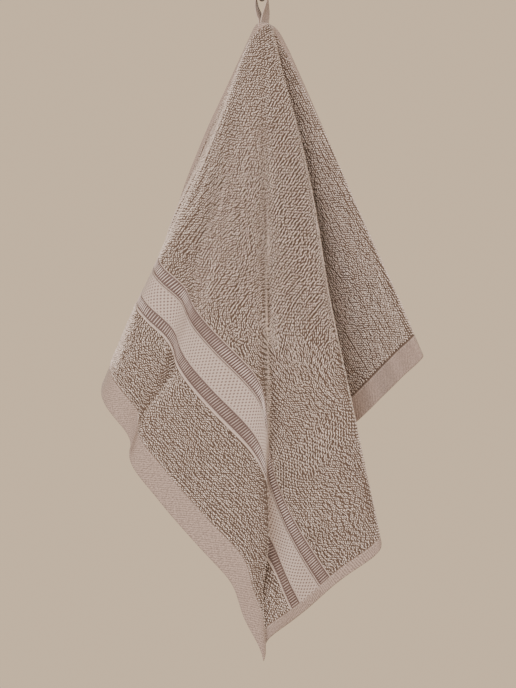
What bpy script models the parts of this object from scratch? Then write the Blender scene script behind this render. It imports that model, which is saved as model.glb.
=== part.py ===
"""Hand towel hanging by its tape loop from a wall hook.

Metres, +Z up. The origin is the centre of the wall plate's back face, on the wall. The room is
towards -Y and the wall is the plane y = 0. The towel is one flat rectangle of terry, pleated into
folds that all run down from the middle of one long side, where the loop is sewn in.
"""

import math
from typing import NamedTuple

import bmesh
import bpy
import numpy as np

# Towel, flat: a 20 x 30 inch cut
TOWEL_LENGTH = 0.762
TOWEL_WIDTH = 0.508
TERRY_THICKNESS = 0.0034  # ground cloth with the loops of both faces
FLAT_THICKNESS = 0.0020  # hems and woven border, which have no loops
END_HEM = 0.023
SIDE_HEM = 0.010
BORDER_FROM_HEM = 0.069  # terry between the left end's hem and the border
BORDER_WIDTH = 0.052
PILE_SLOPE = 0.004  # run over which the terry falls to the flat bands
PRESSED_RADIUS, FREE_RADIUS = 0.05, 0.15  # the bunched folds press the terry flat below the hang point

# Hanging: the towel's hang point is below the seat of the hook's arm
SEAT_OUT = 0.045  # seat of the arm, from the wall
SEAT_DROP = 0.030  # and below the middle of the wall plate
HANG_BELOW_SEAT = 0.027
ARCH_SHOULDER = 3.0  # how square the cloth's shoulders are where it turns down from the hang point
HIGH_RADIUS = 0.10  # up to here from the hang point the folds lie as in the high columns
LOW_RADIUS = 0.32  # and from here on as in the low ones

# More of the left edge is rolled behind at mid height than above and below it
CURL_ANGLE = 7.0
CURL_START, CURL_FULL, CURL_END = 0.18, 0.26, 0.38
CURL_WHOLE, CURL_NONE = 20.0, 40.0

# Each fold is rounded to both sides over this angle of cloth and this length of it, together
ROUNDING_ANGLE = 1.4
ROUNDING_LENGTH = 0.006
ROUNDING_MOST = 26.0
ROUNDING_SAMPLES = 9
EDGE_WEIGHT_LOSS = 0.7  # the rounding counts its two ends this much less than its middle

# Mesh of the towel
RULING_STEP = 2.0  # degrees of cloth between two lines of the mesh
ROWS = (0.0, 0.02, 0.045, 0.08, 0.13, 0.19, 0.26, 0.34, 0.42, 0.50, 0.57, 0.62, 0.64, 0.70, 0.76,
        0.78, 0.85, 0.925)  # of each line's length, up to the hem

# Loop
TAPE_WIDTH = 0.0115
TAPE_THICKNESS = 0.0012
TAPE_SAMPLES = 40

# Hook
ROD_RADIUS = 0.0035
PLATE_WIDTH, PLATE_HEIGHT, PLATE_THICKNESS = 0.020, 0.044, 0.004
PLATE_CORNER, PLATE_CORNER_STEPS = 0.0095, 8
PLATE_EDGE, PLATE_EDGE_STEPS = 0.0008, 2
SHARP_ANGLE = 40.0  # edges that turn more than this stay sharp

SEAT = np.array([0.0, -SEAT_OUT, -SEAT_DROP])
HANG = SEAT - np.array([0.0, 0.0, HANG_BELOW_SEAT])
HALF_LENGTH = TOWEL_LENGTH / 2
CORNER_ANGLE = math.degrees(math.atan2(TOWEL_WIDTH, HALF_LENGTH))


class Fold(NamedTuple):
    """A line down the cloth from the hang point.

    angle: on the flat towel, in degrees, from the left half's hung edge to the right half's.
    arch_x, arch_out: how far the line starts to the right and out from the wall, in millimetres.
    high_x, high_out, low_x, low_out: its run to the right and out, for each metre down.
    """

    angle: float
    arch_x: float
    arch_out: float
    high_x: float
    high_out: float
    low_x: float
    low_out: float


FOLDS = {
    "left edge": Fold(0, -6, -2.5, -0.480, 0.03, -0.330, -0.06),
    "hem turn": Fold(7, -6.5, 0, -0.392, 0.05, -0.382, -0.045),
    "left roll": Fold(15, -6.2, 3, -0.356, 0.10, -0.421, 0.03),
    "left ridge": Fold(24, -5.5, 5, -0.324, 0.15, -0.390, 0.13),
    "ridge foot": Fold(32.5, -4.3, 6.6, -0.240, 0.135, -0.262, 0.142),
    "left valley": Fold(36, -3.6, 7.4, -0.200, 0.120, -0.245, 0.122),
    "left slope": Fold(39.5, -2.9, 8.1, -0.152, 0.122, -0.203, 0.130),
    "front panel": Fold(44, -1.5, 9, -0.090, 0.14, -0.122, 0.15),
    "crease ridge": Fold(51, 0.5, 9.5, 0.000, 0.15, 0.002, 0.160),
    "crease foot": Fold(57, 2.2, 9.5, 0.040, 0.110, 0.012, 0.118),
    "front right": Fold(62.5, 4, 9.5, 0.140, 0.094, 0.078, 0.106),
    "front hollow": Fold(66.3, 5.1, 9.3, 0.212, 0.087, 0.146, 0.082),
    "front fold": Fold(69, 6, 9, 0.266, 0.09, 0.212, 0.108),
    "fold turn": Fold(72.5, 6.8, 8.2, 0.266, 0.050, 0.212, 0.068),
    "first tuck": Fold(91, 8, 5.5, 0.060, 0.048, -0.145, 0.052),
    "tuck turn": Fold(94, 8.2, 4.8, 0.060, 0.015, -0.145, 0.037),
    "first return": Fold(110, 10, 2.5, 0.190, 0.015, 0.145, 0.035),
    "return turn": Fold(113, 10, 1.5, 0.190, -0.018, 0.145, 0.018),
    "far corner": Fold(180 - CORNER_ANGLE, 10, -0.2, 0.075, -0.018, -0.014, 0.017),
    "second tuck": Fold(135.5, 10, -1, -0.020, -0.018, -0.105, 0.016),
    "second turn": Fold(138, 10, -2.2, -0.020, -0.055, -0.105, -0.006),
    "right panel": Fold(155, 12, -5.5, 0.190, -0.060, 0.208, -0.012),
    "right slope": Fold(161.5, 13.5, -7.5, 0.270, -0.015, 0.296, 0.022),
    "right middle": Fold(167, 14.5, -9, 0.330, 0.020, 0.360, 0.075),
    "right roll": Fold(173, 15.5, -11, 0.408, 0.04, 0.430, 0.125),
    "right turn": Fold(175.5, 16, -12, 0.425, 0.02, 0.432, 0.085),
    "right edge": Fold(180, 17, -14, 0.432, -0.02, 0.395, 0.030),
}


class Local(NamedTuple):
    """A change that the folds have over part of their length.

    angle, spread: where on the flat towel it is greatest and how fast it fades to both sides, in degrees.
    start, full, ease, end: from the hang point, where it begins, is whole, lets go and has let go.
    left: the share of it that is left from there on.
    x, out: what it adds to the run to the right and out, for each metre down.
    down: how much lower the cloth hangs there, in metres.
    """

    angle: float
    spread: float
    start: float
    full: float
    ease: float
    end: float
    left: float
    x: float
    out: float
    down: float


LOCALS = {
    "tucked foot": Local(55.2, 1.7, 0.43, 0.50, 0.53, 0.62, 0.15, -0.040, 0, 0),
    "pushed ridge": Local(51, 1.7, 0.43, 0.50, 0.53, 0.62, 0.15, 0.008, 0, 0),
    "open tip": Local(50.3, 2.2, 0.52, 0.58, 0.60, 0.62, 1, -0.026, 0, 0),
    "tip foot": Local(57.5, 3, 0.50, 0.60, 0.60, 0.62, 1, 0, 0.03, 0),
    "slack front": Local(61, 5.5, 0.25, 0.45, 0.60, 0.62, 1, 0, 0, 0.015),
    "left belly": Local(8, 9, 0.13, 0.20, 0.22, 0.31, 0, -0.030, 0, 0),
    "hem swing": Local(34, 3.5, 0.37, 0.43, 0.60, 0.62, 1, -0.034, 0, 0),
    "far rise": Local(122, 12, 0.30, 0.50, 0.70, 0.72, 1, 0, 0, -0.014),
}


class TapePoint(NamedTuple):
    """A point of the loop's middle line, from the seat, in millimetres, and how far the tape is turned
    there, in degrees: at 0 its width lies straight out from the wall."""

    x: float
    z: float
    turn: float


TAPE_ROUTE = {
    "left end": TapePoint(0.0, -25.7, 42),
    "left shank": TapePoint(-2.4, -19.0, 36),
    "left bow": TapePoint(-5.4, -9.0, 18),
    "left side": TapePoint(-5.9, -2.0, 6),
    "left shoulder": TapePoint(-4.0, 3.2, 0),
    "top": TapePoint(0.0, 4.45, 0),
    "right shoulder": TapePoint(4.0, 3.2, 0),
    "right side": TapePoint(5.6, -2.0, 6),
    "right bow": TapePoint(4.9, -9.0, 20),
    "right shank": TapePoint(3.6, -19.0, 44),
    "right end": TapePoint(2.6, -25.7, 48),
}


class ArmPoint(NamedTuple):
    """A point of the hook arm's middle line: out from the wall, and up from the seat, in millimetres."""

    out: float
    up: float


ARM_ROUTE = {
    "root": ArmPoint(4.3, 28),
    "straight": ArmPoint(9, 28),
    "shoulder": ArmPoint(15.5, 25),
    "neck": ArmPoint(23, 15),
    "heel": ArmPoint(30, 4),
    "seat back": ArmPoint(38, 0),
    "seat front": ArmPoint(52, 0),
    "toe": ArmPoint(59.5, 4),
    "rise": ArmPoint(64, 12),
    "tip": ArmPoint(65.5, 24),
}
ARM_SAMPLES = 34


def clear_scene():
    for obj in list(bpy.data.objects):
        bpy.data.objects.remove(obj, do_unlink=True)


def smooth(value, start, end):
    """0 before start, 1 after end, and an even curve between them."""
    u = np.clip((value - start) / (end - start), 0, 1)
    return u * u * (3 - 2 * u)


def spline(at, stations, values):
    """A curve through the values at the stations that never overshoots them."""
    stations, values = np.asarray(stations, float), np.asarray(values, float)
    steps = np.diff(stations)
    slopes = np.diff(values) / steps
    before, after = slopes[:-1], slopes[1:]
    inner = (before * steps[1:] + after * steps[:-1]) / (steps[:-1] + steps[1:])
    limit = 3 * np.minimum(abs(before), abs(after))
    inner = np.where(before * after > 0, np.clip(inner, -limit, limit), 0)
    tangents = np.concatenate([slopes[:1], inner, slopes[-1:]])
    i = np.clip(np.searchsorted(stations, at) - 1, 0, len(steps) - 1)
    u = (at - stations[i]) / steps[i]
    start = (1 + 2 * u) * (1 - u) ** 2 * values[i] + u * (1 - u) ** 2 * steps[i] * tangents[i]
    end = u * u * (3 - 2 * u) * values[i + 1] + u * u * (u - 1) * steps[i] * tangents[i + 1]
    return start + end


def fold_values(angle, rounding):
    """The folds' columns at these angles of the cloth, each fold rounded to both sides."""
    angles = [fold.angle for fold in FOLDS.values()]
    shifts = np.linspace(-1, 1, ROUNDING_SAMPLES)
    weights = 1 - shifts**2 * EDGE_WEIGHT_LOSS
    columns = []
    for column in Fold._fields[1:]:
        values = [getattr(fold, column) for fold in FOLDS.values()]
        total = 0
        for shift, weight in zip(shifts, weights):
            near = np.clip(angle + shift * rounding, 0, 180)
            total = total + weight * spline(near, angles, values)
        columns.append(total / weights.sum())
    return columns


def hung(along, across):
    """Where a point of the flat towel hangs. along: from the loop, positive on the left half.
    across: from the hung side. Each line from the loop stays a nearly straight line."""
    radius = np.hypot(along, across)
    angle = np.degrees(np.arctan2(across, along))
    curl = smooth(radius, CURL_START, CURL_FULL) * (1 - smooth(radius, CURL_FULL, CURL_END))
    curl = curl * CURL_ANGLE * smooth(angle, 0, CURL_WHOLE) * (1 - smooth(angle, CURL_WHOLE, CURL_NONE))
    rounding = ROUNDING_ANGLE + np.degrees(ROUNDING_LENGTH / np.maximum(radius, ROUNDING_LENGTH / 2))
    rounding = np.minimum(rounding, ROUNDING_MOST)
    arch_x, arch_out, high_x, high_out, low_x, low_out = fold_values(angle - curl, rounding)
    low = smooth(radius, HIGH_RADIUS, LOW_RADIUS)
    x = high_x * (1 - low) + low_x * low
    out = high_out * (1 - low) + low_out * low
    longer = 0
    for local in LOCALS.values():
        kept = 1 - (1 - local.left) * smooth(radius, local.ease, local.end)
        share = smooth(radius, local.start, local.full) * kept
        share = share * np.exp(-(((angle - local.angle) / local.spread) ** 2))
        x = x + local.x * share
        out = out + local.out * share
        longer = longer + local.down * share
    slant = np.sqrt(x * x + out * out + 1)
    arch = np.maximum(np.hypot(arch_x, arch_out), 1) * 1e-3
    over = radius / (radius**ARCH_SHOULDER + arch**ARCH_SHOULDER) ** (1 / ARCH_SHOULDER)
    run = radius - arch * over + longer
    place = [arch_x * 1e-3 * over + run * x / slant, -arch_out * 1e-3 * over - run * out / slant]
    return HANG + np.stack([*place, -run / slant], axis=-1)


def pile(along, across):
    """1 where the towel has loops, 0 on its hems and its border."""
    ends = smooth(HALF_LENGTH - abs(along), END_HEM - PILE_SLOPE / 2, END_HEM + PILE_SLOPE / 2)
    sides = np.minimum(across, TOWEL_WIDTH - across)
    sides = smooth(sides, SIDE_HEM - PILE_SLOPE / 2, SIDE_HEM + PILE_SLOPE / 2)
    middle = HALF_LENGTH - END_HEM - BORDER_FROM_HEM - BORDER_WIDTH / 2
    border = smooth(abs(along - middle), (BORDER_WIDTH - PILE_SLOPE) / 2, (BORDER_WIDTH + PILE_SLOPE) / 2)
    return ends * sides * border * smooth(np.hypot(along, across), PRESSED_RADIUS, FREE_RADIUS)


def mesh_angles():
    """The angles of the mesh's lines: every fold and corner, with even steps between them."""
    marks = sorted({fold.angle for fold in FOLDS.values()} | {CORNER_ANGLE})
    angles = []
    for start, end in zip(marks[:-1], marks[1:]):
        steps = max(1, round((end - start) / RULING_STEP))
        angles += list(np.linspace(start, end, steps, endpoint=False))
    return np.array(angles + [180.0])


def material(name, colour, roughness, metallic=0.0):
    made = bpy.data.materials.new(name)
    made.use_nodes = True
    shader = made.node_tree.nodes["Principled BSDF"]
    shader.inputs["Base Color"].default_value = (*colour, 1)
    shader.inputs["Roughness"].default_value = roughness
    shader.inputs["Metallic"].default_value = metallic
    made.diffuse_color = (*colour, 1)
    return made


def add(name, data, collection, finish):
    obj = bpy.data.objects.new(name, data)
    data.materials.append(finish)
    collection.objects.link(obj)
    return obj


def make_towel(collection, finish):
    """A grid whose columns are lines down from the loop and whose rows end at the hem."""
    angles = mesh_angles()
    turn = np.radians(angles)
    reach = np.minimum(
        HALF_LENGTH / np.maximum(abs(np.cos(turn)), 1e-9), TOWEL_WIDTH / np.maximum(np.sin(turn), 1e-9)
    )
    on_end = reach * abs(np.cos(turn)) > HALF_LENGTH - 1e-6
    hem = np.where(on_end, 1 - END_HEM / HALF_LENGTH, 1 - SIDE_HEM / TOWEL_WIDTH)
    rows = [np.full_like(reach, share) for share in ROWS]
    rows += [hem - 0.004, hem + 0.004, np.ones_like(reach)]
    radius = np.array(rows) * reach
    along, across = radius * np.cos(turn), radius * np.sin(turn)
    place = hung(along, across)
    loops = pile(along, across)

    shape = bmesh.new()
    weights = shape.verts.layers.deform.verify()
    grid = bmesh.ops.create_grid(shape, x_segments=len(angles) - 1, y_segments=len(rows) - 1, size=1)
    for vertex in grid["verts"]:
        column = round((vertex.co.x + 1) / 2 * (len(angles) - 1))
        row = round((vertex.co.y + 1) / 2 * (len(rows) - 1))
        vertex.co = place[row, column]
        vertex[weights][0] = float(loops[row, column])
    bmesh.ops.remove_doubles(shape, verts=shape.verts, dist=1e-6)
    data = bpy.data.meshes.new("towel")
    shape.to_mesh(data)
    shape.free()
    data.shade_smooth()
    towel = add("towel", data, collection, finish)
    towel.vertex_groups.new(name="loops")
    thick = towel.modifiers.new("thickness", "SOLIDIFY")
    thick.thickness = TERRY_THICKNESS
    thick.offset = 0
    thick.vertex_group = "loops"
    thick.thickness_vertex_group = FLAT_THICKNESS / TERRY_THICKNESS
    return towel


def make_loop(collection, finish):
    """A flat tape over the hook's arm, both ends down at the towel's hem."""
    route = list(TAPE_ROUTE.values())
    flat = np.array([(point.x, point.z) for point in route])
    stations = np.concatenate([[0], np.cumsum(np.linalg.norm(np.diff(flat, axis=0), axis=1))])
    at = np.linspace(0, stations[-1], TAPE_SAMPLES)
    x, z, turn = (spline(at, stations, [getattr(p, field) for p in route]) for field in TapePoint._fields)
    middle = SEAT + np.stack([x, np.zeros_like(x), z], axis=-1) * 1e-3
    turn = np.radians(turn)
    across = np.stack([np.sin(turn), np.cos(turn), np.zeros_like(turn)], axis=-1) * TAPE_WIDTH / 2

    shape = bmesh.new()
    grid = bmesh.ops.create_grid(shape, x_segments=TAPE_SAMPLES - 1, y_segments=2, size=1)
    for vertex in grid["verts"]:
        sample = round((vertex.co.x + 1) / 2 * (TAPE_SAMPLES - 1))
        vertex.co = middle[sample] + across[sample] * vertex.co.y
    data = bpy.data.meshes.new("hanging_loop")
    shape.to_mesh(data)
    shape.free()
    data.shade_smooth()
    loop = add("hanging_loop", data, collection, finish)
    thick = loop.modifiers.new("thickness", "SOLIDIFY")
    thick.thickness = TAPE_THICKNESS
    thick.offset = 0
    return loop


def make_hook_arm(collection, finish):
    """One bent round rod, from the wall plate down to the seat and up to its tip."""
    route = list(ARM_ROUTE.values())
    flat = np.array(route, float)
    stations = np.concatenate([[0], np.cumsum(np.linalg.norm(np.diff(flat, axis=0), axis=1))])
    at = np.linspace(0, stations[-1], ARM_SAMPLES)
    out, up = (spline(at, stations, flat[:, column]) for column in range(2))
    data = bpy.data.curves.new("hook_arm", "CURVE")
    data.dimensions = "3D"
    line = data.splines.new("POLY")
    line.points.add(ARM_SAMPLES - 1)
    for point, y, z in zip(line.points, -out * 1e-3, SEAT[2] + up * 1e-3):
        point.co = (0, y, z, 1)
    data.bevel_depth = ROD_RADIUS
    data.bevel_resolution = 3
    data.use_fill_caps = True
    return add("hook_arm", data, collection, finish)


def make_wall_plate(collection, finish):
    """A plain upright plate, flat against the wall."""
    shape = bmesh.new()
    bmesh.ops.create_cube(shape, size=1)
    bmesh.ops.scale(shape, vec=(PLATE_WIDTH, PLATE_THICKNESS, PLATE_HEIGHT), verts=shape.verts)
    corners = [
        edge for edge in shape.edges
        if abs(edge.verts[0].co.y - edge.verts[1].co.y) > PLATE_THICKNESS / 2
    ]
    bmesh.ops.bevel(
        shape, geom=corners, offset=PLATE_CORNER, segments=PLATE_CORNER_STEPS, affect="EDGES", profile=0.5
    )
    front = [edge for edge in shape.edges if all(vertex.co.y < 0 for vertex in edge.verts)]
    bmesh.ops.bevel(
        shape, geom=front, offset=PLATE_EDGE, segments=PLATE_EDGE_STEPS, affect="EDGES", profile=0.5
    )
    bmesh.ops.translate(shape, vec=(0, -PLATE_THICKNESS / 2, 0), verts=shape.verts)
    data = bpy.data.meshes.new("wall_plate")
    shape.to_mesh(data)
    shape.free()
    data.shade_smooth()
    data.set_sharp_from_angle(angle=math.radians(SHARP_ANGLE))
    return add("wall_plate", data, collection, finish)


clear_scene()
parts = bpy.data.collections.new("hand_towel_on_hook")
bpy.context.scene.collection.children.link(parts)
terry = material("terry", (0.46, 0.37, 0.32), 0.95)
tape = material("tape", (0.42, 0.34, 0.30), 0.85)
dark_metal = material("dark_metal", (0.035, 0.022, 0.015), 0.45, 0.8)
make_towel(parts, terry)
make_loop(parts, tape)
make_hook_arm(parts, dark_metal)
make_wall_plate(parts, dark_metal)
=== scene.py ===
"""Looks of a hand towel that hangs by its tape loop from a wall hook. Metres, +Z up, room towards -Y."""

import math
from typing import NamedTuple

import bpy
import numpy as np
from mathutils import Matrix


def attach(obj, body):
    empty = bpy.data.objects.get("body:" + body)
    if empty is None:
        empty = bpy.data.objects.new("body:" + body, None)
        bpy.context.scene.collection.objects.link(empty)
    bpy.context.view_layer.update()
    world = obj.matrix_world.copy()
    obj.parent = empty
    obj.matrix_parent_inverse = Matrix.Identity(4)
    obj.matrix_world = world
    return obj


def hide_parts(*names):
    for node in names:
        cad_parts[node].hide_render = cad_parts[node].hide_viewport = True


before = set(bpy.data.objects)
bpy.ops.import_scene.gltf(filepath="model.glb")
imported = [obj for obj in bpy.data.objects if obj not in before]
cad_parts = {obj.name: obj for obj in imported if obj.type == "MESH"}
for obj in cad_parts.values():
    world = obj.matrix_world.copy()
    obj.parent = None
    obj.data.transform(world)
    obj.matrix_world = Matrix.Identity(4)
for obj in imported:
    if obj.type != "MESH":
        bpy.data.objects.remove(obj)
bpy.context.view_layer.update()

# Camera and studio. The camera looks level at the middle of the towel from two metres away, and its
# lens makes one pixel one millimetre at the hook's seat. The floor is plain and pale, well below the
# towel. Two soft lamps stand in front of the towel, and a weak one stands behind it.
SEAT_OUT = 0.045  # how far out the hook's seat is
VIEW_DISTANCE = 2.0
VIEW_X, VIEW_Z = -0.004, -0.377
SENSOR, LENS = 36.0, 104.65
ROOM_COLOUR, ROOM_STRENGTH = (0.80, 0.605, 0.41), 1.03
TOWEL_MIDDLE = (0.0, -0.05, -0.35)
LAMP_SIDE = 1.6
FLOOR_Z, FLOOR_SIZE = -1.15, 3.0
FLOOR_COLOUR, FLOOR_ROUGHNESS = (0.66, 0.62, 0.58), 0.8

view = bpy.data.objects.new("view", bpy.data.cameras.new("view"))
bpy.context.collection.objects.link(view)
view.data.sensor_width = SENSOR
view.data.lens = LENS
view.location = (VIEW_X, -SEAT_OUT - VIEW_DISTANCE, VIEW_Z)
view.rotation_euler = (math.pi / 2, 0, 0)
bpy.context.scene.camera = view

room = bpy.data.worlds.new("room")
room.use_nodes = True
room.node_tree.nodes["Background"].inputs["Color"].default_value = (*ROOM_COLOUR, 1)
room.node_tree.nodes["Background"].inputs["Strength"].default_value = ROOM_STRENGTH
bpy.context.scene.world = room


class Lamp(NamedTuple):
    """A square soft lamp that points at the middle of the towel: its place, power and colour."""

    place: tuple
    power: float
    colour: tuple


LAMPS = {
    "window": Lamp((-1.1, -2.4, 0.9), 91.0, (1.0, 0.975, 0.965)),
    "fill": Lamp((1.6, -2.1, 0.5), 32.0, (1.0, 0.97, 0.95)),
    "back_fill": Lamp((0.6, 1.9, 0.6), 22.0, (1.0, 0.97, 0.94)),
}
for name, lamp in LAMPS.items():
    soft = bpy.data.objects.new(name, bpy.data.lights.new(name, "AREA"))
    bpy.context.collection.objects.link(soft)
    soft.data.size = LAMP_SIDE
    soft.data.energy = lamp.power
    soft.data.color = lamp.colour
    soft.location = lamp.place
    aim = soft.location.copy()
    aim.xyz = TOWEL_MIDDLE
    soft.rotation_euler = (aim - soft.location).to_track_quat("-Z", "Y").to_euler()

bpy.ops.object.select_all(action="DESELECT")
bpy.ops.mesh.primitive_plane_add(size=FLOOR_SIZE, location=(0, 0, FLOOR_Z))
floor = bpy.context.active_object
floor.name = "floor"
floor_paint = bpy.data.materials.new("floor_paint")
floor_paint.use_nodes = True
floor_sockets = floor_paint.node_tree.nodes["Principled BSDF"].inputs
floor_sockets["Base Color"].default_value = (*FLOOR_COLOUR, 1)
floor_sockets["Roughness"].default_value = FLOOR_ROUGHNESS
floor.data.materials.append(floor_paint)


# Wall hook. A plain plate, and one bent rod that carries the loop. Both are steel with a dark bronze
# coat, a little uneven to the touch and rubbed smoother here and there.
BRONZE, WORN_BRONZE = (0.026, 0.016, 0.011), (0.060, 0.038, 0.026)


class Wire:
    """A shader socket that takes part in Python sums: each operator adds its Math node."""

    def __init__(self, tree, socket=None):
        self.tree = tree
        self.socket = socket

    def node(self, kind, inputs=(), output=0, **settings):
        """Adds a node: its settings first, then the values or the links of its sockets."""
        made = self.tree.nodes.new("ShaderNode" + kind)
        for setting, value in settings.items():
            setattr(made, setting, value)
        for key, value in dict(inputs).items():
            if isinstance(value, Wire):
                self.tree.links.new(value.socket, made.inputs[key])
            else:
                made.inputs[key].default_value = value
        return Wire(self.tree, made.outputs[output])

    def math(self, operation, first, second=0.0):
        return self.node("Math", {0: first, 1: second}, operation=operation)

    def __add__(self, other):
        return self.math("ADD", self, other)

    __radd__ = __add__

    def __sub__(self, other):
        return self.math("SUBTRACT", self, other)

    def __rsub__(self, other):
        return self.math("SUBTRACT", other, self)

    def __mul__(self, other):
        return self.math("MULTIPLY", self, other)

    __rmul__ = __mul__

    def wave(self, pitch):
        """From 1 to -1 and back over each pitch."""
        return self.math("COSINE", self * (2 * math.pi / pitch))

    def over(self, low, high):
        """0 at low, 1 at high and an even curve between them; falling where low is the larger."""
        inputs = {"Value": self, "From Min": low, "From Max": high}
        return self.node("MapRange", inputs, interpolation_type="SMOOTHSTEP")

    def split(self):
        """The parts of a vector."""
        parts = self.node("SeparateXYZ", {0: self})
        return [Wire(self.tree, part) for part in parts.socket.node.outputs]

    def place(self):
        """Where the point is, in metres."""
        return self.node("TexCoord", output="Object")

    def mix(self, factor, low, high):
        """Between two colours, which are sockets 6 and 7 of the node, and its output 2."""
        low, high = (value if isinstance(value, Wire) else (*value, 1) for value in (low, high))
        return self.node("Mix", {0: factor, 6: low, 7: high}, output=2, data_type="RGBA")

    def noise(self, place, scale, detail):
        return self.node("TexNoise", {"Vector": place, "Scale": scale, "Detail": detail})

    def bump(self, height, distance, strength):
        return self.node("Bump", {"Height": height, "Distance": distance, "Strength": strength})


def finish(name, sheen=0.0, metallic=0.0, specular=0.5):
    """A new material: its shader, and a wire in its tree."""
    made = bpy.data.materials.new(name)
    made.use_nodes = True
    shader = made.node_tree.nodes["Principled BSDF"]
    shader.inputs["Sheen Weight"].default_value = sheen
    shader.inputs["Sheen Roughness"].default_value = 0.5
    shader.inputs["Metallic"].default_value = metallic
    shader.inputs["Specular IOR Level"].default_value = specular
    return made, shader, Wire(made.node_tree)


def connect(wire, shader, **sockets):
    """Links each wire to the shader's socket of that name."""
    for key, value in sockets.items():
        wire.tree.links.new(value.socket, shader.inputs[key.replace("_", " ")])


bronze, shader, wire = finish("dark_bronze", metallic=0.85)
place = wire.place()
cast = wire.noise(place, scale=60.0, detail=4.0)
speck = wire.noise(place, scale=900.0, detail=2.0)
connect(
    wire, shader,
    Base_Color=wire.mix(cast.over(0.35, 0.7), BRONZE, WORN_BRONZE),
    Roughness=0.34 + 0.22 * cast + 0.08 * speck,
    Normal=wire.bump(speck * 0.3 + cast, distance=0.0002, strength=0.5),
)
for node in ("hook_arm", "wall_plate"):
    for material_slot in bpy.data.objects[node].material_slots:
        material_slot.material = bronze


# Towel. One rectangle of cotton terry, 20 x 30 inches, with a woven border near its left end and all
# four edges turned over and hemmed. It hangs by the middle of one long side, and all its folds run
# down from there; each row of the table is a line of the flat cloth and says where it hangs.
MM = 1e-3  # metres in a millimetre
LENGTH, WIDTH = 0.762, 0.508
HALF = LENGTH / 2
END_HEM, SIDE_HEM = 0.023, 0.010
BORDER_IN, BORDER_WIDTH = 0.069, 0.052
BORDER_START = HALF - END_HEM - BORDER_IN  # its edge towards the left end's hem
BORDER_END = BORDER_START - BORDER_WIDTH
CORNER_ANGLE = math.degrees(math.atan2(WIDTH, HALF))
HANG = np.array([0.0, -SEAT_OUT, -0.057])
ARCH_SHOULDER = 3.0  # the higher, the sharper the bend from the arch into the fall
HIGH_RADIUS, LOW_RADIUS = 0.10, 0.32  # the run down is the high one to here, the low one from here
CURL_ANGLE, CURL_START, CURL_FULL, CURL_END = 7.0, 0.18, 0.26, 0.38  # the left edge curls in here
CURL_WHOLE, CURL_NONE = 20.0, 40.0  # the curl's angles: greatest, and gone
ROUNDING_ANGLE, ROUNDING_LENGTH, ROUNDING_MOST = 1.4, 0.006, 26.0  # of each fold, to both sides
ROUNDING_SAMPLES, EDGE_WEIGHT_LOSS = 9, 0.7
RIPPLE_START, RIPPLE_FULL = 0.05, 0.25


class Fold(NamedTuple):
    """A line down the cloth from the hang point: its angle on the flat towel in degrees, where its
    arch starts in millimetres, and its run to the right and out for each metre down."""

    angle: float
    arch_x: float
    arch_out: float
    high_x: float
    high_out: float
    low_x: float
    low_out: float


FOLDS = {
    "left edge": Fold(0, -6, -2.5, -0.480, 0.03, -0.330, -0.06),
    "hem turn": Fold(7, -6.5, 0, -0.392, 0.05, -0.382, -0.045),
    "left roll": Fold(15, -6.2, 3, -0.356, 0.10, -0.421, 0.03),
    "left ridge": Fold(24, -5.5, 5, -0.324, 0.15, -0.390, 0.13),
    "ridge foot": Fold(32.5, -4.3, 6.6, -0.240, 0.135, -0.262, 0.142),
    "left valley": Fold(36, -3.6, 7.4, -0.200, 0.120, -0.245, 0.122),
    "left slope": Fold(39.5, -2.9, 8.1, -0.152, 0.122, -0.203, 0.130),
    "front panel": Fold(44, -1.5, 9, -0.090, 0.14, -0.122, 0.15),
    "crease ridge": Fold(51, 0.5, 9.5, 0.000, 0.15, 0.002, 0.160),
    "crease foot": Fold(57, 2.2, 9.5, 0.040, 0.110, 0.012, 0.118),
    "front right": Fold(62.5, 4, 9.5, 0.140, 0.094, 0.078, 0.106),
    "front hollow": Fold(66.3, 5.1, 9.3, 0.212, 0.087, 0.146, 0.082),
    "front fold": Fold(69, 6, 9, 0.266, 0.09, 0.212, 0.108),
    "fold turn": Fold(72.5, 6.8, 8.2, 0.266, 0.050, 0.212, 0.068),
    "first tuck": Fold(91, 8, 5.5, 0.060, 0.048, -0.145, 0.052),
    "tuck turn": Fold(94, 8.2, 4.8, 0.060, 0.015, -0.145, 0.037),
    "first return": Fold(110, 10, 2.5, 0.190, 0.015, 0.145, 0.035),
    "return turn": Fold(113, 10, 1.5, 0.190, -0.018, 0.145, 0.018),
    "far corner": Fold(180 - CORNER_ANGLE, 10, -0.2, 0.075, -0.018, -0.014, 0.017),
    "second tuck": Fold(135.5, 10, -1, -0.020, -0.018, -0.105, 0.016),
    "second turn": Fold(138, 10, -2.2, -0.020, -0.055, -0.105, -0.006),
    "right panel": Fold(155, 12, -5.5, 0.190, -0.060, 0.208, -0.012),
    "right slope": Fold(161.5, 13.5, -7.5, 0.270, -0.015, 0.296, 0.022),
    "right middle": Fold(167, 14.5, -9, 0.330, 0.020, 0.360, 0.075),
    "right roll": Fold(173, 15.5, -11, 0.408, 0.04, 0.430, 0.125),
    "right turn": Fold(175.5, 16, -12, 0.425, 0.02, 0.432, 0.085),
    "right edge": Fold(180, 17, -14, 0.432, -0.02, 0.395, 0.030),
}


class Local(NamedTuple):
    """A change of the folds near one angle, in degrees, over part of their length: where it begins, is
    whole, lets go and has let go, the share left then, what it adds to the run to the right and out
    for each metre down, and how much lower the cloth hangs, in metres."""

    angle: float
    spread: float
    start: float
    full: float
    ease: float
    end: float
    left: float
    x: float
    out: float
    down: float


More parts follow.
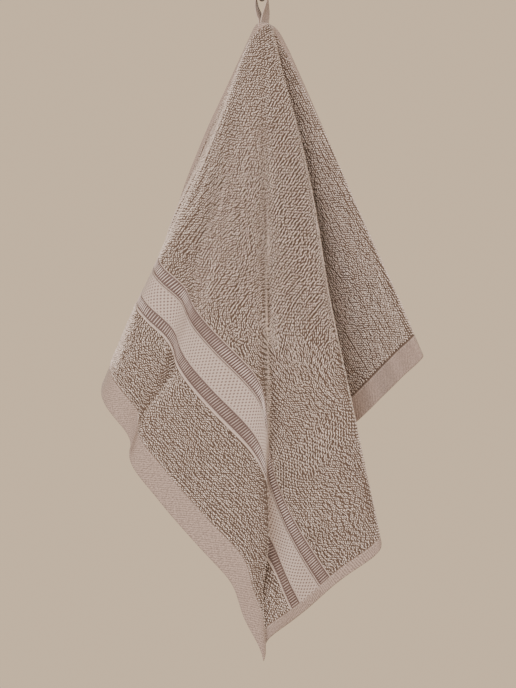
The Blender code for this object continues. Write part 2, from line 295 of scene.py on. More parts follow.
LOCALS = {
    "tucked foot": Local(55.2, 1.7, 0.43, 0.50, 0.53, 0.62, 0.15, -0.040, 0, 0),
    "pushed ridge": Local(51, 1.7, 0.43, 0.50, 0.53, 0.62, 0.15, 0.008, 0, 0),
    "open tip": Local(50.3, 2.2, 0.52, 0.58, 0.60, 0.62, 1, -0.026, 0, 0),
    "tip foot": Local(57.5, 3, 0.50, 0.60, 0.60, 0.62, 1, 0, 0.03, 0),
    "slack front": Local(61, 5.5, 0.25, 0.45, 0.60, 0.62, 1, 0, 0, 0.015),
    "left belly": Local(8, 9, 0.13, 0.20, 0.22, 0.31, 0, -0.030, 0, 0),
    "hem swing": Local(34, 3.5, 0.37, 0.43, 0.60, 0.62, 1, -0.034, 0, 0),
    "far rise": Local(122, 12, 0.30, 0.50, 0.70, 0.72, 1, 0, 0, -0.014),
}


class Ripple(NamedTuple):
    """A shallow wave over the hanging cloth: its height in metres, how many run across each degree
    and down each metre, and where it starts, in turns."""

    height: float
    across: float
    down: float
    start: float


RIPPLES = {
    "long fall": Ripple(0.0012, 0.061, 1.7, 0.10),
    "slack": Ripple(0.0010, 0.108, -2.9, 0.55),
    "buckle": Ripple(0.0006, 0.191, 5.3, 0.80),
    "pucker": Ripple(0.0004, -0.283, 9.7, 0.35),
}


def smooth(value, start, end):
    """0 before start, 1 after end, and an even curve between them."""
    u = np.clip((value - start) / (end - start), 0, 1)
    return u * u * (3 - 2 * u)


def spline(at, stations, values):
    """A curve through the values at the stations that never overshoots them."""
    stations, values = np.asarray(stations, float), np.asarray(values, float)
    steps = np.diff(stations)
    slopes = np.diff(values) / steps
    before, after = slopes[:-1], slopes[1:]
    inner = (before * steps[1:] + after * steps[:-1]) / (steps[:-1] + steps[1:])
    limit = 3 * np.minimum(abs(before), abs(after))
    inner = np.where(before * after > 0, np.clip(inner, -limit, limit), 0)
    tangents = np.concatenate([slopes[:1], inner, slopes[-1:]])
    i = np.clip(np.searchsorted(stations, at) - 1, 0, len(steps) - 1)
    u = (at - stations[i]) / steps[i]
    start = (1 + 2 * u) * (1 - u) ** 2 * values[i] + u * (1 - u) ** 2 * steps[i] * tangents[i]
    end = u * u * (3 - 2 * u) * values[i + 1] + u * u * (u - 1) * steps[i] * tangents[i + 1]
    return start + end


def fold_values(angle, rounding):
    """The folds' columns at these angles of the cloth, each fold rounded to both sides."""
    angles = [fold.angle for fold in FOLDS.values()]
    shifts = np.linspace(-1, 1, ROUNDING_SAMPLES)
    weights = 1 - shifts**2 * EDGE_WEIGHT_LOSS
    columns = []
    for column in Fold._fields[1:]:
        values = [getattr(fold, column) for fold in FOLDS.values()]
        total = 0
        for shift, weight in zip(shifts, weights):
            near = np.clip(angle + shift * rounding, 0, 180)
            total = total + weight * spline(near, angles, values)
        columns.append(total / weights.sum())
    return columns


def hung(along, across):
    """Where a point of the flat towel hangs. along: from the loop, positive on the left half.
    across: from the hung side. Each line from the loop stays a nearly straight line."""
    radius = np.hypot(along, across)
    angle = np.degrees(np.arctan2(across, along))
    curl = smooth(radius, CURL_START, CURL_FULL) * (1 - smooth(radius, CURL_FULL, CURL_END))
    curl = curl * CURL_ANGLE * smooth(angle, 0, CURL_WHOLE) * (1 - smooth(angle, CURL_WHOLE, CURL_NONE))
    rounding = ROUNDING_ANGLE + np.degrees(ROUNDING_LENGTH / np.maximum(radius, ROUNDING_LENGTH / 2))
    rounding = np.minimum(rounding, ROUNDING_MOST)
    arch_x, arch_out, high_x, high_out, low_x, low_out = fold_values(angle - curl, rounding)
    low = smooth(radius, HIGH_RADIUS, LOW_RADIUS)
    x = high_x * (1 - low) + low_x * low
    out = high_out * (1 - low) + low_out * low
    longer = 0
    for local in LOCALS.values():
        kept = 1 - (1 - local.left) * smooth(radius, local.ease, local.end)
        share = smooth(radius, local.start, local.full) * kept
        share = share * np.exp(-(((angle - local.angle) / local.spread) ** 2))
        x = x + local.x * share
        out = out + local.out * share
        longer = longer + local.down * share
    slant = np.sqrt(x * x + out * out + 1)
    arch = np.maximum(np.hypot(arch_x, arch_out), 1) * MM
    over = radius / (radius**ARCH_SHOULDER + arch**ARCH_SHOULDER) ** (1 / ARCH_SHOULDER)
    run = radius - arch * over + longer
    out_more = 0
    for ripple in RIPPLES.values():
        turns = angle * ripple.across + radius * ripple.down + ripple.start
        out_more = out_more + ripple.height * np.sin(2 * math.pi * turns)
    out_more = out_more * smooth(radius, RIPPLE_START, RIPPLE_FULL)
    place = [arch_x * MM * over + run * x / slant, -arch_out * MM * over - run * out / slant - out_more]
    return HANG + np.stack([*place, -run / slant], axis=-1)


def stations(length, fine, coarse, spread, edge):
    """Steps from fine at 0 to coarse past the spread, and two close ones at the edge."""
    found = [0.0]
    while found[-1] < length - edge:
        found.append(found[-1] + fine + (coarse - fine) * min(found[-1] / spread, 1))
    inner = np.array(found) * (length - edge) / found[-1]
    return np.concatenate([inner, [length - edge / 2, length]])


def mesh_object(name, verts, faces):
    """A new smooth mesh object from arrays of points and of faces with the same number of corners."""
    data = bpy.data.meshes.new(name)
    corners = faces.shape[1]
    data.vertices.add(len(verts))
    data.vertices.foreach_set("co", np.ascontiguousarray(verts, np.float32).ravel())
    data.loops.add(faces.size)
    data.loops.foreach_set("vertex_index", faces.astype(np.int32).ravel())
    data.polygons.add(len(faces))
    data.polygons.foreach_set("loop_start", np.arange(0, faces.size, corners, dtype=np.int32))
    data.update(calc_edges=True)
    data.shade_smooth()
    made = bpy.data.objects.new(name, data)
    bpy.context.collection.objects.link(made)
    return made


def grid_faces(rows, columns):
    """The faces of a grid of points with this many rows and columns."""
    index = np.arange(rows * columns).reshape(rows, columns)
    faces = np.stack([index[:-1, :-1], index[1:, :-1], index[1:, 1:], index[:-1, 1:]], axis=-1)
    return faces.reshape(-1, 4)


def lay_flat(made, flat_places):
    """Gives the mesh its places on the flat cloth, in metres, as the UV map that patterns follow."""
    layer = made.data.uv_layers.new(name="flat")
    corner = np.empty(len(made.data.loops), np.int32)
    made.data.loops.foreach_get("vertex_index", corner)
    layer.data.foreach_set("uv", flat_places[corner].astype(np.float32).ravel())


def apply(made, *modifiers):
    """Applies the object's modifiers in this order."""
    bpy.ops.object.select_all(action="DESELECT")
    made.select_set(True)
    bpy.context.view_layer.objects.active = made
    for modifier in modifiers:
        bpy.ops.object.modifier_apply(modifier=modifier)


GROUND_THICKNESS, HEM_THICKNESS = 0.0017, 0.0021
EDGE_SHARE, EDGE_THIN, EDGE_FULL = 0.45, -0.0002, 0.0018  # the cloth's edge is thinner, as if rounded
THICKNESS_STEPS = 20
half_rows = stations(HALF, fine=0.0018, coarse=0.0033, spread=0.07, edge=0.002)
rows = np.concatenate([-half_rows[:0:-1], half_rows])
columns = stations(WIDTH, fine=0.0012, coarse=0.0032, spread=0.06, edge=0.002)
along, across = (grid.ravel() for grid in np.meshgrid(rows, columns, indexing="ij"))
cloth = mesh_object("terry_cloth", hung(along, across), grid_faces(len(rows), len(columns)))
lay_flat(cloth, np.stack([along, across], axis=-1))

from_end, from_side = HALF - abs(along), np.minimum(across, WIDTH - across)
hemmed = (from_end < END_HEM) | (from_side < SIDE_HEM)
thickness = np.where(hemmed, 1.0, GROUND_THICKNESS / HEM_THICKNESS)
from_edge = np.minimum(from_end, from_side)
thickness = thickness * (EDGE_SHARE + (1 - EDGE_SHARE) * smooth(from_edge, EDGE_THIN, EDGE_FULL))
group = cloth.vertex_groups.new(name="thickness")
for step, share in enumerate(np.linspace(1 / THICKNESS_STEPS, 1, THICKNESS_STEPS)):
    near = np.flatnonzero(np.round(thickness * THICKNESS_STEPS - 1).astype(int) == step)
    group.add([int(vertex) for vertex in near], float(share), "REPLACE")
thick = cloth.modifiers.new("thickness", "SOLIDIFY")
thick.thickness = HEM_THICKNESS
thick.offset = 0
thick.vertex_group = "thickness"
apply(cloth, "thickness")

# painted shade: the ground weave under the loops is coloured near-black brown for the shade that falls
# between them
TERRY_GAP_SHADE = (0.070, 0.046, 0.034)
HEM_COLOUR = (0.380, 0.288, 0.251)
PLAIN_COLOUR = (0.450, 0.365, 0.330)
# the border's dark mauve; it is also the painted shade at the satin floats' feet
MAUVE = (0.085, 0.051, 0.045)
DOT_COLOUR = (0.175, 0.124, 0.109)
HEM_SOFT, BORDER_SOFT, STRIPE_SOFT = 0.0006, 0.0004, 0.0003
TWILL_PITCH, CROSS_TWILL_PITCH, RIB_PITCH = 0.0021, 0.0013, 0.0019
DIAGONAL = 0.7
SATIN, LAST_PLAIN = 0.0113, 0.0008  # the width of a satin stripe, and of the plain one past the second
FIRST_SATIN, SECOND_SATIN = 0.0025, BORDER_WIDTH - LAST_PLAIN - SATIN  # where the satin stripes start
DOT_PITCH, DOT_ROW = 0.0038, 0.0025
DOTS_START, DOTS_END = FIRST_SATIN + SATIN + 0.0014, SECOND_SATIN - 0.0028
MAUVE_START, MAUVE_END = SECOND_SATIN - 0.0017, SECOND_SATIN - 0.0009  # a thin line in that colour


def band(wire, start, end, soft=STRIPE_SOFT):
    """1 from start to end of the wire's value, 0 outside."""
    return wire.over(start - soft, start + soft) * wire.over(end + soft, end - soft)


def shaded(colour, share):
    """The colour times this share."""
    return tuple(share * part for part in colour)


weave, shader, wire = finish("towel_weave", sheen=0.25, specular=0.3)
spot = wire.node("UVMap", uv_map="flat")
x, y, _ = spot.split()
cloud = wire.noise(spot, scale=9.0, detail=3.0)
mottle = wire.noise(spot, scale=620.0, detail=2.0)
fine = wire.noise(spot, scale=1400.0, detail=2.0)
# painted shade: the cloth under the loops takes that dark colour, a little lighter in broad random patches
terry = wire.mix(cloud.over(0.3, 0.7), TERRY_GAP_SHADE, shaded(TERRY_GAP_SHADE, 1.18))

end_hem = wire.math("ABSOLUTE", x).over(HALF - END_HEM - HEM_SOFT, HALF - END_HEM + HEM_SOFT)
side_hem = wire.math("MINIMUM", y, WIDTH - y).over(SIDE_HEM + HEM_SOFT, SIDE_HEM - HEM_SOFT)
hem = wire.math("MAXIMUM", end_hem, side_hem)
slant_x, slant_y = x * DIAGONAL, y * DIAGONAL
twill = (slant_x + slant_y).wave(TWILL_PITCH) * 0.7 + (slant_x - slant_y).wave(CROSS_TWILL_PITCH) * 0.3
hem_height = end_hem * twill + (1 - end_hem) * side_hem * x.wave(RIB_PITCH)
# partly painted shade: the hem is darker where its twill and ribs lie low; partly the yarn's own mottled tone
hem_tone = (hem_height * 0.5 + (mottle - 0.5) * 3.5).over(-0.8, 0.7)
in_hem = wire.mix(hem_tone, shaded(HEM_COLOUR, 0.50), HEM_COLOUR)

inwards = BORDER_START - x
border = band(inwards, 0.0, BORDER_WIDTH, BORDER_SOFT)
satin = band(inwards, FIRST_SATIN, FIRST_SATIN + SATIN) + band(inwards, SECOND_SATIN, SECOND_SATIN + SATIN)
dots = (y.wave(DOT_PITCH) * inwards.wave(2 * DOT_ROW)).over(0.12, 0.62)
dots = dots * band(inwards, DOTS_START, DOTS_END)
mauve_line = band(inwards, MAUVE_START, MAUVE_END)
plain = wire.mix(fine.over(0.3, 0.7), shaded(PLAIN_COLOUR, 0.92), PLAIN_COLOUR)
in_border = wire.mix(satin + mauve_line, wire.mix(dots, plain, DOT_COLOUR), MAUVE)
height = hem * hem_height * 0.5 - border * dots + fine * 0.4
connect(
    wire, shader,
    Base_Color=wire.mix(hem, wire.mix(border, terry, in_border), in_hem),
    Roughness=0.86 - 0.25 * border * satin,
    Normal=wire.bump(height, distance=0.0004, strength=0.8),
)
cloth.data.materials.append(weave)
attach(cloth, "root")
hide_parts("towel")


# Terry loops. Each warp thread of the towel stands up between two rows of weft as a soft twisted
# loop, on both faces, and the wash has laid them over. They stop at the hems and at the border, and
# each is one low grain set into the cloth, with the next ones close beside it.
FACES = {"room": 1.0, "wall": -1.0}
PANELS = 2
SLOPE_STEP = 0.0002
EDGE = 0.0005  # how near to the cloth's edge a grain may reach
GRAIN_TAPER, GRAIN_END_HEIGHT, GRAIN_END_SHADE = 0.88, 0.2, 0.6  # the shape of their ends, and their painted shade
random = np.random.default_rng(7)


def slopes(along, across):
    """What a metre of the flat cloth along and across becomes where it hangs."""
    down = (hung(along + SLOPE_STEP, across) - hung(along - SLOPE_STEP, across)) / (2 * SLOPE_STEP)
    over = (hung(along, across + SLOPE_STEP) - hung(along, across - SLOPE_STEP)) / (2 * SLOPE_STEP)
    return down, over


def grains(name, along, across, turn, size, lift, side, tone, lean, bend, depth, rings=1):
    """Closed grains on the cloth, each a low roof with rounded ends. turn: of their length from the
    cloth's long way, in radians. size: length, width and height. lift: of their underside.
    side: 1 for the room side of the cloth. tone: each one's own shade. lean: of one end upwards.
    bend: of their middle, in widths. depth: how much painted shade darkens their foot against their
    crest, as a share. rings: how many cross sections stand between their ends."""
    length, width, height = size
    u = np.linspace(-1, 1, rings + 2)
    middle = (length / 2)[:, None] * u
    bow = (bend * width)[:, None] * (1 - u * u)
    at_along = along[:, None] + middle * np.cos(turn)[:, None] - bow * np.sin(turn)[:, None]
    at_across = across[:, None] + middle * np.sin(turn)[:, None] + bow * np.cos(turn)[:, None]
    at_across = np.clip(at_across, EDGE, WIDTH - EDGE)
    down, over = slopes(at_along, at_across)
    out = np.cross(down, over)
    out = out / np.linalg.norm(out, axis=-1, keepdims=True) * side
    way = down * np.cos(turn)[:, None, None] + over * np.sin(turn)[:, None, None]
    way = way / np.linalg.norm(way, axis=-1, keepdims=True)
    broad = np.cross(out, way) * (width / 2)[:, None, None]
    high = out * height[:, None, None]
    under = hung(at_along, at_across) + out * (lift[:, None] + lean[:, None] * u)[..., None]
    full = np.sqrt(1 - (u * GRAIN_TAPER) ** 2)[None, :, None]
    ring = np.stack([under + broad * full, under + high * full, under - broad * full], axis=2)[:, 1:-1]
    ends = (under + GRAIN_END_HEIGHT * high)[:, [0, -1]]
    each = np.concatenate([ends[:, :1], ring.reshape(len(along), -1, 3), ends[:, 1:]], axis=1)
    count = each.shape[1]
    faces = []
    for near, after in ((1, 2), (2, 3), (3, 1)):  # a strip between two of a ring's three corners
        faces.append((0, after, near))
        for first in range(0, 3 * (rings - 1), 3):
            a, b = near + first, after + first
            faces += [(a, b, b + 3), (a, b + 3, a + 3)]
        faces.append((count - 1, near + 3 * (rings - 1), after + 3 * (rings - 1)))
    faces = np.array(faces)[None] + (np.arange(len(along)) * count)[:, None, None]
    made = mesh_object(name, each.reshape(-1, 3), faces.reshape(-1, 3))
    # painted shade at each grain's foot: 1 there, 0 on its crest, less of it where depth is low
    root = np.ones(count)
    root[2:-1:3] = 0.0
    root[[0, -1]] = GRAIN_END_SHADE
    shade = np.stack([np.repeat(tone, count), (0.5 + depth[:, None] * (root - 0.5)).ravel()], axis=-1)
    marks = made.data.attributes.new("yarn", "FLOAT_VECTOR", "POINT")
    marks.data.foreach_set("vector", np.pad(shade, ((0, 0), (0, 1))).astype(np.float32).ravel())
    return made


def yarn_marks(wire):
    """Each grain's own tone, and its painted shade at the point: least on its crest, most at its foot."""
    return wire.node("Attribute", output="Vector", attribute_name="yarn").split()[:2]


class Drift(NamedTuple):
    """A wave in how the loops lie: its size (a turn in radians or a reach in metres), its waves a
    metre along and across, and its start in turns."""

    size: float
    along: float
    across: float
    start: float


def drifted(value, drifts, along, across):
    """The value with all the drifts at these places added."""
    for drift in drifts:
        turns = along * drift.along + across * drift.across + drift.start
        value = value + drift.size * np.sin(2 * math.pi * turns)
    return value


DRIFTS = (
    Drift(0.14, 7.0, 11.0, 0.2), Drift(0.12, 19.0, -14.0, 0.7), Drift(0.10, -27.0, 31.0, 0.4),
    Drift(0.08, 47.0, 38.0, 0.9), Drift(0.06, 61.0, -73.0, 0.1),
)


class Calm(NamedTuple):
    """A fold whose ridge has rubbed the loops smooth: its angle and its half width, in degrees, and
    how much of the painted shade between the loops' crests and feet is gone."""

    angle: float
    spread: float
    share: float


CALMS = (Calm(51.5, 2.8, 0.80), Calm(33.0, 1.2, 0.65), Calm(25.0, 1.2, 0.35), Calm(69.5, 1.2, 0.4))
CALM_MOST, CALM_HEIGHT, CALM_TONE = 0.85, 0.1, 0.3  # the most there is, and what it takes from the loops' height and, as painted shade along the fold, from their tone


def calm_at(angle):
    """How calm the loops are at these angles."""
    calm = 0
    for ridge in CALMS:
        calm = calm + ridge.share * np.exp(-(((angle - ridge.angle) / ridge.spread) ** 2))
    return np.minimum(calm, CALM_MOST)


LOOP_ROW = 0.0026  # from loop to loop in a line
LINE_STEP = 0.0010  # from one place for a line to the next, on the flat cloth
LINE_GAP = 0.0017  # from line to line on the hung cloth
FIRST_LINE = 0.001  # from a hem to the first place for a loop
PLACE_SPREAD = 0.00020
ALONG_CLEAR, ACROSS_CLEAR, SIDE_CLEAR = 0.0009, 0.0006, 0.0006  # clear of the hems
INNER_CLEAR, OUTER_CLEAR = 0.0006, 0.0007  # clear of the border
TURN_START, TURN_END, TURN_SLANT = 0.36, 0.46, 0.8  # the lines turn between these reaches
TURN_WAVES = (Drift(0.011, 17.0, -9.0, 0.3), Drift(0.007, 41.0, 29.0, 0.6))
TURN_OVERLAP = 0.012  # both kinds of line go on this far past the middle of the turn, in radians


def loop_places():
    """Loops in staggered lines, each a little off its place, none on a hem or the border. Towards the
    hanging corner the lines run across the cloth instead of along it, and the loops turn with them.
    The more the cloth is gathered, the fewer lines show there, and they stay evenly apart."""
    found = []
    for crosswise in (False, True):
        pitch_along, pitch_across = (LINE_STEP, LOOP_ROW) if crosswise else (LOOP_ROW, LINE_STEP)
        rows = np.arange(HALF - END_HEM - FIRST_LINE, END_HEM - HALF, -pitch_along)
        columns = np.arange(SIDE_HEM + FIRST_LINE, WIDTH - SIDE_HEM, pitch_across)
        if crosswise:
            columns = WIDTH - columns
        along, across = np.meshgrid(rows, columns, indexing="ij")
        down, over = slopes(along, across)
        way = over if crosswise else down
        apart = LINE_STEP * np.linalg.norm(np.cross(down, over), axis=-1)
        apart = apart / np.linalg.norm(way, axis=-1)
        passed = np.cumsum(apart, axis=1 - crosswise) / LINE_GAP
        line = np.floor(passed)
        along_slope, across_slope = np.gradient(passed, rows, columns)
        lay = np.arctan2(-along_slope, across_slope)
        shown = (np.diff(line, axis=1 - crosswise, prepend=-1) != 0).ravel()
        stagger = LOOP_ROW / 2 * (line % 2)
        along = (along + stagger * (not crosswise)).ravel()
        across = (across - stagger * crosswise).ravel()
        along = along + random.normal(0, PLACE_SPREAD, len(along))
        across = across + random.normal(0, PLACE_SPREAD, len(across))
        reach = drifted(across + TURN_SLANT * along, TURN_WAVES, along, across)
        turn = math.pi / 2 * smooth(reach, TURN_START, TURN_END)
        lay = lay.ravel() + turn - math.pi / 2 * crosswise
        on_border = (along > BORDER_END - INNER_CLEAR) & (along < BORDER_START + OUTER_CLEAR)
        off_end = abs(along) < HALF - END_HEM - (ACROSS_CLEAR if crosswise else ALONG_CLEAR)
        off_side = abs(across - WIDTH / 2) < WIDTH / 2 - SIDE_HEM - SIDE_CLEAR
        past = (turn - math.pi / 4) * (1 if crosswise else -1)
        keep = off_end & off_side & ~on_border & (past > -TURN_OVERLAP) & shown
        found.append((along[keep], across[keep], lay[keep]))
    return [np.concatenate(values) for values in zip(*found)]


PALE, PALEST = (0.580, 0.466, 0.406), (0.920, 0.782, 0.714)
# painted shade at the loops' feet
LOOP_FOOT_SHADE = (0.045, 0.028, 0.020)
yarn, shader, wire = finish("terry_yarn", sheen=0.35, specular=0.25)
tone, root = yarn_marks(wire)
twist = wire.noise(wire.place(), scale=1800.0, detail=2.0)
connect(
    wire, shader,
    # painted shade: each loop darkens from its pale crest to near black at its foot, where the loops shade
    # one another
    Base_Color=wire.mix(root.over(0.25, 0.95), wire.mix(tone, PALE, PALEST), LOOP_FOOT_SHADE),
    Roughness=0.80 + 0.15 * twist,
    Normal=wire.bump(twist, distance=0.0004, strength=0.5),
)

LOOP_LENGTH, LOOP_WIDTH, LOOP_HEIGHT, LOOP_LIFT = 0.0033, 0.00150, 0.0016, 0.0004
LENGTH_SPREAD, WIDTH_SPREAD = (0.8, 1.15), (0.85, 1.15)
HEIGHT_SPREAD, LIFT_SPREAD = (0.75, 1.25), (0.85, 1.2)
TURN_SPREAD, LEAN_SPREAD, BEND_SPREAD = 0.08, 0.00020, 0.20
CROWDED_SHARE, CROWDED, FREE = 0.6, 0.008, 0.03  # the loops are smaller close to the hanging loop
LEFT_SHADE_SHARE, DULL, BRIGHT = 0.8, 8.0, 17.0  # and painted shade darkens them towards the left edge: its share, where it is whole and where it is gone, in degrees from that edge
for face, side in FACES.items():
    along, across, lay = loop_places()
    panel = np.minimum(((along + HALF) / LENGTH * PANELS).astype(int), PANELS - 1)
    for number in range(PANELS):
        here = panel == number
        a, b = along[here], across[here]
        count = len(a)
        turn = drifted(lay[here] + random.normal(0, TURN_SPREAD, count), DRIFTS, a, b)
        angle = np.degrees(np.arctan2(b, a))
        calm = calm_at(angle)
        small = CROWDED_SHARE + (1 - CROWDED_SHARE) * smooth(np.hypot(a, b), CROWDED, FREE)
        size = [
            LOOP_LENGTH * random.uniform(*LENGTH_SPREAD, count),
            LOOP_WIDTH * random.uniform(*WIDTH_SPREAD, count) * small,
            LOOP_HEIGHT * random.uniform(*HEIGHT_SPREAD, count) * (1 - CALM_HEIGHT * calm) * small,
        ]
        lift = LOOP_LIFT * random.uniform(*LIFT_SPREAD, count)
        # painted shade: a darker tone along the calm folds
        tone = random.uniform(0, 1, count) * (1 - CALM_TONE * calm)
        # painted shade: a darker tone towards the left edge
        tone = tone * (1 - LEFT_SHADE_SHARE * smooth(angle, BRIGHT, DULL))
        lean, bend = random.normal(0, LEAN_SPREAD, count), random.normal(0, BEND_SPREAD, count)
        name = f"terry_loops_{face}_{number + 1}"
        made = grains(name, a, b, turn, size, lift, side, tone, lean, bend, 1 - calm)
        made.data.materials.append(yarn)
        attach(made, "root")


# Satin stripes. In two stripes of the border, bright weft yarns float over the ground, side by side
# and each as long as the stripe is wide. They catch the light like a ladder's rungs, and broad patches
# of them have a painted sheen, lit or unlit.
FLOAT_PITCH, FLOAT_SPREAD = 0.0025, 0.00008
FLOAT_LENGTH, FLOAT_WIDTH, FLOAT_HEIGHT, FLOAT_LIFT = SATIN - 0.0004, 0.0015, 0.0005, 0.0008
FLOATS_START, FLOATS_END = SIDE_HEM + 0.0015, WIDTH - SIDE_HEM - 0.001
# painted sheen: lit and unlit colours of the same satin yarn
LIT_LOW, LIT_HIGH = (0.54, 0.442, 0.418), (0.66, 0.555, 0.530)
UNLIT_LOW, UNLIT_HIGH = (0.30, 0.222, 0.200), (0.44, 0.345, 0.318)

satin_yarn, shader, wire = finish("satin_yarn", sheen=0.1, specular=0.6)
tone, root = yarn_marks(wire)
place = wire.place()
fibre = wire.noise(place, scale=2200.0, detail=2.0)
# painted sheen: broad patches where the floats take the lit colours, and the unlit ones elsewhere
sheen_patches = wire.noise(place, scale=11.0, detail=1.0).over(0.42, 0.58)
bright = wire.mix(sheen_patches, wire.mix(tone, UNLIT_LOW, UNLIT_HIGH), wire.mix(tone, LIT_LOW, LIT_HIGH))
connect(
    wire, shader,
    # painted shade: each satin float darkens to the mauve at its feet
    Base_Color=wire.mix(root.over(0.2, 1.0), bright, MAUVE),
    Roughness=0.36 + 0.2 * fibre,
    Normal=wire.bump(fibre, distance=0.0002, strength=0.4),
)

stripes = [BORDER_START - start - SATIN / 2 for start in (FIRST_SATIN, SECOND_SATIN)]
yarns = np.arange(FLOATS_START, FLOATS_END, FLOAT_PITCH)
along, across = (grid.ravel() for grid in np.meshgrid(stripes, yarns, indexing="ij"))
count = len(along)
across = across + random.normal(0, FLOAT_SPREAD, count)
size = [np.full(count, value) for value in (FLOAT_LENGTH, FLOAT_WIDTH, FLOAT_HEIGHT)]
still = np.zeros(count)
for face, side in FACES.items():
    made = grains(
        f"satin_floats_{face}", along, across, still, size, still + FLOAT_LIFT, side,
        random.uniform(0, 1, count), still, still, still + 1, rings=5,
    )
    made.data.materials.append(satin_yarn)
    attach(made, "root")


# Border cords and hem stitches. Thicker weft yarns stand up as fine cords beside the satin stripes,
# and a row of lock stitches runs round the towel and holds the turned-over hems.
class Stitch(NamedTuple):
    """The grains of a row: how far apart, how long, wide and high, and how far off the cloth."""

    pitch: float
    length: float
    width: float
    height: float
    lift: float


CORD = Stitch(pitch=0.0024, length=0.0032, width=0.0009, height=0.0004, lift=0.0009)
LOCK_STITCH = Stitch(pitch=0.0032, length=0.0022, width=0.0011, height=0.0005, lift=0.0011)
SEAM_IN, SEAM_SHORT = 0.0013, 0.012


class Row(NamedTuple):
    """A row of grains: where it runs, from where to where, if it runs across, and its grains."""

    at: float
    start: float
    end: float
    runs_across: bool
    stitch: Stitch


def cord(inwards):
    return Row(BORDER_START - inwards, SIDE_HEM, WIDTH - SIDE_HEM, True, CORD)


def side_seam(at):
    return Row(at, SEAM_SHORT - HALF, HALF - SEAM_SHORT, False, LOCK_STITCH)


def end_seam(at):
    return Row(at, SIDE_HEM, WIDTH - SIDE_HEM, True, LOCK_STITCH)


ROWS = {
    "first_cord": cord(FIRST_SATIN - 0.0006),
    "second_cord": cord(FIRST_SATIN + SATIN + 0.0007),
    "third_cord": cord(SECOND_SATIN - 0.0023),
    "fourth_cord": cord(SECOND_SATIN - 0.0005),
    "hung_seam": side_seam(SIDE_HEM - SEAM_IN),
    "lower_seam": side_seam(WIDTH - SIDE_HEM + SEAM_IN),
    "left_seam": end_seam(HALF - END_HEM + SEAM_IN),
    "right_seam": end_seam(END_HEM - HALF - SEAM_IN),
}
for name, row in ROWS.items():
    run = np.arange(row.start, row.end, row.stitch.pitch)
    at = np.full(len(run), row.at)
    still = np.zeros(len(run))
    along, across = (at, run) if row.runs_across else (run, at)
    turn = still + (math.pi / 2 if row.runs_across else 0)
    size = [still + value for value in (row.stitch.length, row.stitch.width, row.stitch.height)]
    lift = still + row.stitch.lift
    for face, side in FACES.items():
        tone = random.uniform(0.1, 0.7, len(run))
        made = grains(
            f"{name}_{face}", along, across, turn, size, lift, side, tone, lean=still, bend=still, depth=still
        )
        made.data.materials.append(yarn)
        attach(made, "root")


# Hanging loop. A length of narrow woven cotton tape, passed over the hook's arm, with both ends
# sewn into the hem at the middle of the long side, where they flare into the gathered hem.
class TapePoint(NamedTuple):
    """A point of the tape's middle line from the hook's seat: how far to the right, how far up and
    how far out, in millimetres, and the tape's turn there, in degrees."""

    x: float
    z: float
    turn: float
    out: float


TAPE_ROUTE = {
    "left end": TapePoint(-1.0, -30.5, 30, 3.4),
    "left hem": TapePoint(0.0, -25.0, 42, 1.2),
    "left shank": TapePoint(-2.4, -19.0, 36, 0),
    "left bow": TapePoint(-5.4, -9.0, 18, 0),
    "left side": TapePoint(-5.9, -2.0, 6, 0),
    "left shoulder": TapePoint(-4.0, 3.2, 0, 0),
    "top": TapePoint(0.0, 4.45, 0, 0),
    "right shoulder": TapePoint(4.0, 3.2, 0, 0),
    "right side": TapePoint(5.6, -2.0, 6, 0),
    "right bow": TapePoint(4.9, -9.0, 20, 0),
    "right shank": TapePoint(3.6, -19.0, 44, 0),
    "right hem": TapePoint(2.6, -25.0, 48, 0.5),
    "right end": TapePoint(4.2, -30.0, 56, 1.5),
}
SEAT_Z = -0.030
TAPE_WIDTH, TAPE_THICKNESS, TAPE_ROUND = 0.0115, 0.0011, 0.0004
TAPE_STEPS, TAPE_STRANDS = 150, 9
route = np.array(list(TAPE_ROUTE.values()))
run = np.concatenate([[0], np.cumsum(np.linalg.norm(np.diff(route[:, :2], axis=0), axis=1))])
at = np.linspace(0, run[-1], TAPE_STEPS)
tape_x, tape_z, tape_turn, tape_out = (spline(at, run, route[:, column]) for column in range(4))
middle = np.stack([tape_x * MM, -SEAT_OUT - tape_out * MM, SEAT_Z + tape_z * MM], axis=-1)
turned = np.radians(tape_turn)
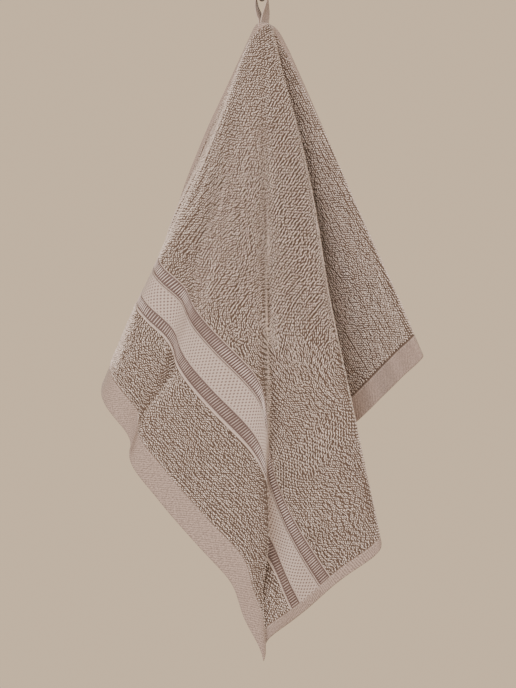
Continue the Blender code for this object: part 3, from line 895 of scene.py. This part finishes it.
broad = np.stack([np.sin(turned), np.cos(turned), np.zeros_like(turned)], axis=-1) * TAPE_WIDTH / 2
strand = np.linspace(-1, 1, TAPE_STRANDS)
points = middle[:, None] + broad[:, None] * strand[:, None]
tape = mesh_object("loop_tape", points.reshape(-1, 3), grid_faces(TAPE_STEPS, TAPE_STRANDS))
tape_flat = np.stack(np.meshgrid(at * MM, strand * TAPE_WIDTH / 2, indexing="ij"), axis=-1)
lay_flat(tape, tape_flat.reshape(-1, 2))
thick = tape.modifiers.new("thickness", "SOLIDIFY")
thick.thickness = TAPE_THICKNESS
thick.offset = 0
rounded = tape.modifiers.new("edges", "BEVEL")
rounded.width = TAPE_ROUND
rounded.segments = 2
rounded.limit_method = "ANGLE"
apply(tape, "thickness", "edges")

TAPE_LOW, TAPE_HIGH = (0.225, 0.168, 0.144), (0.320, 0.247, 0.215)
# painted highlight: a lighter colour along both edges of the tape
SELVEDGE, SELVEDGE_HIGHLIGHT = 0.0012, (0.48, 0.388, 0.335)
HERRINGBONE_PITCH, TAPE_CORD_PITCH = 0.0014, 0.0013
tape_weave, shader, wire = finish("tape_weave", sheen=0.2, specular=0.3)
spot = wire.node("UVMap", uv_map="flat")
x, y, _ = spot.split()
off_middle = wire.math("ABSOLUTE", y)
# painted highlight along the tape's edges
edge_highlight = off_middle.over(TAPE_WIDTH / 2 - SELVEDGE, TAPE_WIDTH / 2 - SELVEDGE / 2)
herringbone = (x + off_middle * 1.2).wave(HERRINGBONE_PITCH)
woven = herringbone * 0.6 + y.wave(TAPE_CORD_PITCH) * 0.4
# painted shade: the tape is darker where its weave lies low
tape_colour = wire.mix(woven.over(-1.0, 0.8), TAPE_LOW, TAPE_HIGH)
fine = wire.noise(spot, scale=1500.0, detail=2.0)
connect(
    wire, shader,
    Base_Color=wire.mix(edge_highlight, tape_colour, SELVEDGE_HIGHLIGHT),
    Roughness=0.78 + 0.12 * fine,
    Normal=wire.bump(woven + fine * 0.4, distance=0.0004, strength=0.8),
)
tape.data.materials.append(tape_weave)
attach(tape, "root")
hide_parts("hanging_loop")
